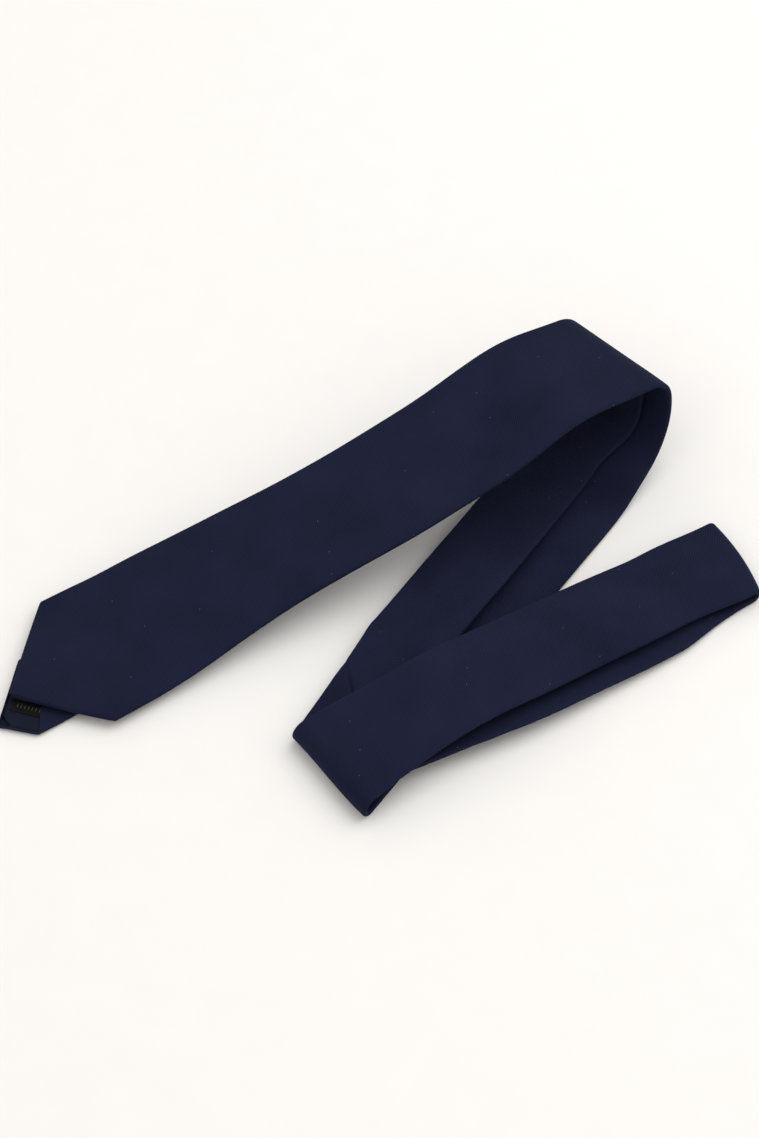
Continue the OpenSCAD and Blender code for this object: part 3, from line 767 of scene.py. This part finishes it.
# %% Thread along a wave
def tube(name, path, thickness, material, uv_step, sides=6):
    """A round tube of six sides: circles at right angles to the path's direction."""
    ahead = np.gradient(path, axis=0)
    ahead /= np.linalg.norm(ahead, axis=1)[:, None]
    up = np.array([0.13, 0.21, 1.0])
    side = np.cross(ahead, up)
    side /= np.linalg.norm(side, axis=1)[:, None]
    over = np.cross(side, ahead)
    angle = np.linspace(0, 2 * np.pi, sides, endpoint=False)
    rings = path[:, None] + thickness / 2 * (side[:, None] * np.cos(angle)[:, None]
                                             + over[:, None] * np.sin(angle)[:, None])
    walk = np.arange(len(path))[:, None] * uv_step
    uv = np.stack([np.broadcast_to(angle * thickness / 2, (len(path), sides)),
                   np.broadcast_to(walk, (len(path), sides))], axis=-1)
    piece = ring_piece(name, rings, uv, material)
    return piece


def stitch_path(stations, pitch, reach, deep, dip):
    """Points along the middle of the back: across is a sine of the distance along, and
    the thread dips into the cloth at each turn."""
    order = np.argsort(stations[:, 0])
    st = stations[order]
    n = int((st[-1, 0] - st[0, 0]) / pitch * 10)
    s = np.linspace(st[0, 0], st[-1, 0], n)
    rows = np.stack([np.interp(s, st[:, 0], st[:, k]) for k in range(3)], axis=1)
    phase = 2 * np.pi * s / pitch
    across = reach * np.sin(phase)
    depth = deep - dip * np.abs(np.sin(phase))
    return at(rows, across[:, None], depth[:, None])[:, 0]


SLIP_PITCH, SLIP_REACH, THREAD_D = 7.0, 0.7, 0.25


def slip_stitch(name, stations):
    """The loose thread down the middle of a run's back, from past the bar tack."""
    rows = part(stations, TACK_AT + TACK_L, 2 * HALF_LEN)
    path = stitch_path(rows, SLIP_PITCH, SLIP_REACH, TIE_T - 0.02, 0.12)
    return tube(name, path, THREAD_D, THREAD, SLIP_PITCH / 10)


def neck_stitch(name):
    """The neck part's thread runs out on the blade side, round the fold, and back."""
    rows = neck_run
    middle = at(rows, np.zeros((len(rows), 1)), np.full((len(rows), 1), TIE_T))[:, 0]
    walk = np.concatenate([[0], np.cumsum(np.linalg.norm(np.diff(middle, axis=0), axis=1))])
    phase = 2 * np.pi * walk / SLIP_PITCH
    across = (0.3 * np.sin(phase))[:, None]
    path = at(rows, across, np.full_like(across, TIE_T - 0.1))[:, 0]
    return tube(name, path, THREAD_D, THREAD, STEP)


def bar_tack(name, turn):
    """Thread crossed from side to side over the point where the turned edges meet."""
    s = np.linspace(TACK_AT, TACK_AT + TACK_L, 321)
    s = s - (TAIL_PAST if turn == 180 else 0)
    rows = np.stack([s, np.full_like(s, TOP_SKEW), np.full_like(s, float(turn))], axis=1)
    phase = 2 * np.pi * (s - s[0]) / 0.45
    path = at(rows, (0.9 * np.sin(phase))[:, None],
              (TIE_T + 0.12 + 0.05 * np.cos(2 * phase))[:, None])[:, 0]
    return tube(name, path, 0.3, THREAD, 0.3)


blade_slip = slip_stitch("blade_slip_stitch_thread", blade_run)
loop_slip = slip_stitch("blade_slip_stitch_fold_thread", loop_run)
upper_slip = slip_stitch("blade_slip_stitch_upper_thread", upper_run)
outer_slip = slip_stitch("neck_slip_stitch_outer_roll", outer_run)
inner_slip = slip_stitch("neck_slip_stitch_inner_roll", inner_run)
neck_slip = neck_stitch("neck_slip_stitch_thread")
tail_slip = slip_stitch("tail_slip_stitch_thread", tail_run)
blade_tack = bar_tack("blade_bar_tack_thread", 0)
tail_tack = bar_tack("tail_bar_tack_thread", 180)


def seam_stitch(name, seam, skew, turn):
    """A row of small stitches down in the seam, across the tie at 45 degrees."""
    half = float(half_width(np.array(seam), np.array(turn))) - 2 * TIE_T
    a = np.linspace(-half, half, int(half * 12))
    rows = np.repeat([[seam, skew, turn]], len(a), axis=0)
    deep = SHELL_T * (0.5 + 0.4 * np.sin(2 * np.pi * a / 2.2))
    path = at(rows, a[:, None], deep[:, None])[:, 0]
    return tube(name, path, 0.16, THREAD, 0.2)


blade_seam = seam_stitch("blade_seam_stitches", BLADE_SEAM, 1.0, 0.0)
tail_seam = seam_stitch("tail_seam_stitches", TAIL_SEAM, -1.0, 180.0)

# %% [markdown]
# ## Keeper and label
# The keeper is a folded band of the shell's own cloth across the back of the blade, held
# under its turned edges. The label is a small black satin tab, sewn at a slant on the
# tail's tipping. Its woven mark is left out, and plain woven bars stand in its place.

# %% Keeper loop
KEEPER_AT, KEEPER_W, KEEPER_SPAN = 215.0, 10.0, 34.0
LABEL_L, LABEL_W, LABEL_AT, LABEL_ACROSS, LABEL_TURN = 14.0, 6.0, 14.4, -5.3, np.radians(50)


def keeper(name):
    """A band across the back: along is its width, across its span, arched a little in the
    middle, with both long edges rounded."""
    width = np.linspace(-0.5, 0.5, 17)
    rows = np.stack([KEEPER_AT + KEEPER_W * width, np.full(17, TOP_SKEW), np.zeros(17)], axis=1)
    share = np.linspace(-1, 1, 41)
    across = np.broadcast_to(KEEPER_SPAN / 2 * share, (17, 41))
    arch = 0.18 * (1 - share ** 2)
    thick = 0.45 * np.sqrt(np.clip(1 - (2 * np.abs(width)) ** 12, 0.02, 1))[:, None]
    near = at(rows, across, TIE_T + 0.03 + arch + 0 * thick)
    far = at(rows, across, TIE_T + 0.03 + arch + thick)
    rings = np.concatenate([near, far[:, ::-1]], axis=1)
    u = np.concatenate([across, across[:, ::-1]], axis=1)
    uv = np.stack([u, np.broadcast_to(rows[:, :1], u.shape)], axis=-1)
    piece = ring_piece(name, rings, uv, NAVY_TWILL)
    return piece


keeper_piece = keeper("keeper_loop_cloth")


# %% Label and its woven bars
def label_points(x, y, deep):
    """Label places x along and y across its own length, slanted over the tail."""
    s = LABEL_AT - TAIL_PAST + x * np.cos(LABEL_TURN) + y * np.sin(LABEL_TURN)
    across = LABEL_ACROSS - x * np.sin(LABEL_TURN) + y * np.cos(LABEL_TURN)
    rows = np.stack([s.ravel(), np.zeros(s.size), np.full(s.size, 180.0)], axis=1)
    return at(rows, across.ravel()[:, None], deep.ravel()[:, None])[:, 0].reshape(x.shape + (3,))


def patch(name, x0, x1, y0, y1, deep, thick, material, sag=0.0):
    """A thin rectangle on the label, from (x0, y0) to (x1, y1)."""
    x, y = np.meshgrid(np.linspace(x0, x1, 29), np.linspace(y0, y1, 15), indexing="ij")
    wave = sag * np.sin(x * 0.9) * np.cos(y * 0.7)
    near = label_points(x, y, deep + wave)
    far = label_points(x, y, deep + thick + wave)
    rings = np.concatenate([near, far[:, ::-1]], axis=1)
    u = np.concatenate([y, y[:, ::-1]], axis=1)
    uv = np.stack([u, np.broadcast_to(x[:, :1], u.shape)], axis=-1)
    piece = ring_piece(name, rings, uv, material)
    return piece


label_b = TIPPING_B + TIPPING_T + EASE
label = patch("tail_label_satin", -LABEL_L / 2, LABEL_L / 2, -LABEL_W / 2, LABEL_W / 2,
              label_b, 0.25, LABEL, 0.06)
bars = [patch(f"tail_label_bar_{k}", x - 0.15, x + 0.15, -0.9, 0.9, label_b + 0.2, 0.12, GOLD)
        for k, x in enumerate(np.arange(-4.5, 5, 1.5))]

# %% [markdown]
# ## Which piece rides on which body
# Runs are stiff enough to ride whole. The cloth in the two folds, drawn bent, rides no body: it
# stays where it is drawn, and the body and the low and high points listed with it are not used.

# %% Ride and replace
loop_low, loop_high = (0.090, 0.075, 0.003), (0.090, 0.075, 0.0405)
outer_low, outer_high = (-0.019, -0.090, 0.0030), (-0.019, -0.090, 0.0095)
inner_low, inner_high = (-0.019, -0.090, 0.0052), (-0.019, -0.090, 0.0075)
RIDES = [
    (blade_shell, "blade_end", "blade_shell"), (blade_lining, "blade_end", "blade_interlining"),
    (blade_tipping, "blade_end", "blade_tipping"), (blade_slip, "blade_end", "blade_slip_stitch"),
    (blade_tack, "blade_end", "blade_bar_tack"), (keeper_piece, "blade_end", "keeper_loop"),
    (upper_shell, "middle", "blade_shell_upper"),
    (upper_lining, "middle", "blade_interlining_upper"),
    (upper_slip, "middle", "blade_slip_stitch_upper"), (tail_shell, "middle", "tail_shell"),
    (tail_lining, "middle", "tail_interlining"), (tail_tipping, "middle", "tail_tipping"),
    (tail_slip, "middle", "tail_slip_stitch"), (tail_tack, "middle", "tail_bar_tack"),
    (label, "middle", "tail_label"), (blade_seam, "middle", "blade_seam_thread"),
    (tail_seam, "middle", "tail_seam_thread"), (neck_shell, "neck_part", "neck_shell"),
    (neck_lining, "neck_part", "neck_interlining"), (neck_slip, "neck_part", "neck_slip_stitch"),
]
for piece, body, node in RIDES:
    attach(piece, body)
    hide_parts(node)
for bar in bars:
    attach(bar, "middle")
BENDS = [
    (loop_shell, "blade_end", loop_low, loop_high, "blade_shell_fold"),
    (loop_lining, "blade_end", loop_low, loop_high, "blade_interlining_fold"),
    (loop_slip, "blade_end", loop_low, loop_high, "blade_slip_stitch_fold"),
    (outer_shell, "neck_part", outer_low, outer_high, "neck_shell_folds"),
    (inner_shell, "neck_part", inner_low, inner_high, "neck_shell_folds"),
    (outer_lining, "neck_part", outer_low, outer_high, "neck_interlining_folds"),
    (inner_lining, "neck_part", inner_low, inner_high, "neck_interlining_folds"),
    (outer_slip, "neck_part", outer_low, outer_high, "neck_slip_stitch_folds"),
    (inner_slip, "neck_part", inner_low, inner_high, "neck_slip_stitch_folds"),
]
for piece, body, start, end, node in BENDS:
    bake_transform(piece)
    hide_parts(node)
print("rides", len(RIDES), "bends", len(BENDS))

# %% [markdown]
# ## Table and light
# A catalogue picture of dark cloth is lit by a large soft source, so the shadows are faint
# and the table is nearly white. One big area lamp from the upper right gives the runs
# their slight difference in tone, and the sky fills in the rest.

# %% Table, lamps and sky
TABLE_HALF = 3.0
table_mesh = bpy.data.meshes.new("table")
table_mesh.from_pydata([(-TABLE_HALF, -TABLE_HALF, 0), (TABLE_HALF, -TABLE_HALF, 0),
                        (TABLE_HALF, TABLE_HALF, 0), (-TABLE_HALF, TABLE_HALF, 0)],
                       [], [(0, 1, 2, 3)])
table = bpy.data.objects.new("table", table_mesh)
bpy.context.collection.objects.link(table)
paint, tree = new_material("matt_off_white_table")
grain = add(tree, "ShaderNodeTexNoise", {"Scale": 60.0, "Detail": 2.0},
            {"Vector": add(tree, "ShaderNodeTexCoord").outputs["Object"]})
tint = add(tree, "ShaderNodeMix",
           {"data_type": "RGBA", 6: linear("#f3f1ef"), 7: linear("#f6f4f1")},
           {0: grain.outputs["Fac"]})
surface = add(tree, "ShaderNodeBsdfPrincipled", {"Roughness": 0.9, "Specular IOR Level": 0.0},
              {"Base Color": tint.outputs[2]})
add(tree, "ShaderNodeOutputMaterial", links={"Surface": surface.outputs[0]})
table.data.materials.append(paint)


def lamp(name, place_m, size, watts):
    """A square area lamp aimed at the middle of the tie."""
    data = bpy.data.lights.new(name, "AREA")
    data.size, data.energy = size, watts
    holder = bpy.data.objects.new(name, data)
    away = np.array(place_m, float)
    holder.location = away
    across = np.hypot(away[0], away[1])
    holder.rotation_euler = (np.arctan2(across, away[2]), 0,
                             np.arctan2(away[1], away[0]) + np.pi / 2)
    bpy.context.collection.objects.link(holder)
    return holder


key = lamp("key_lamp", (0.9, 0.4, 1.7), 1.8, 16)
fill = lamp("fill_lamp", (-1.0, -1.2, 1.8), 1.8, 2)
world = bpy.data.worlds.new("studio")
world.use_nodes = True
world.node_tree.nodes["Background"].inputs[0].default_value = (1.0, 0.99, 0.97, 1)
world.node_tree.nodes["Background"].inputs[1].default_value = 0.80
bpy.context.scene.world = world
bpy.context.scene.view_settings.view_transform = "Standard"
print("lamps", key.name, fill.name)
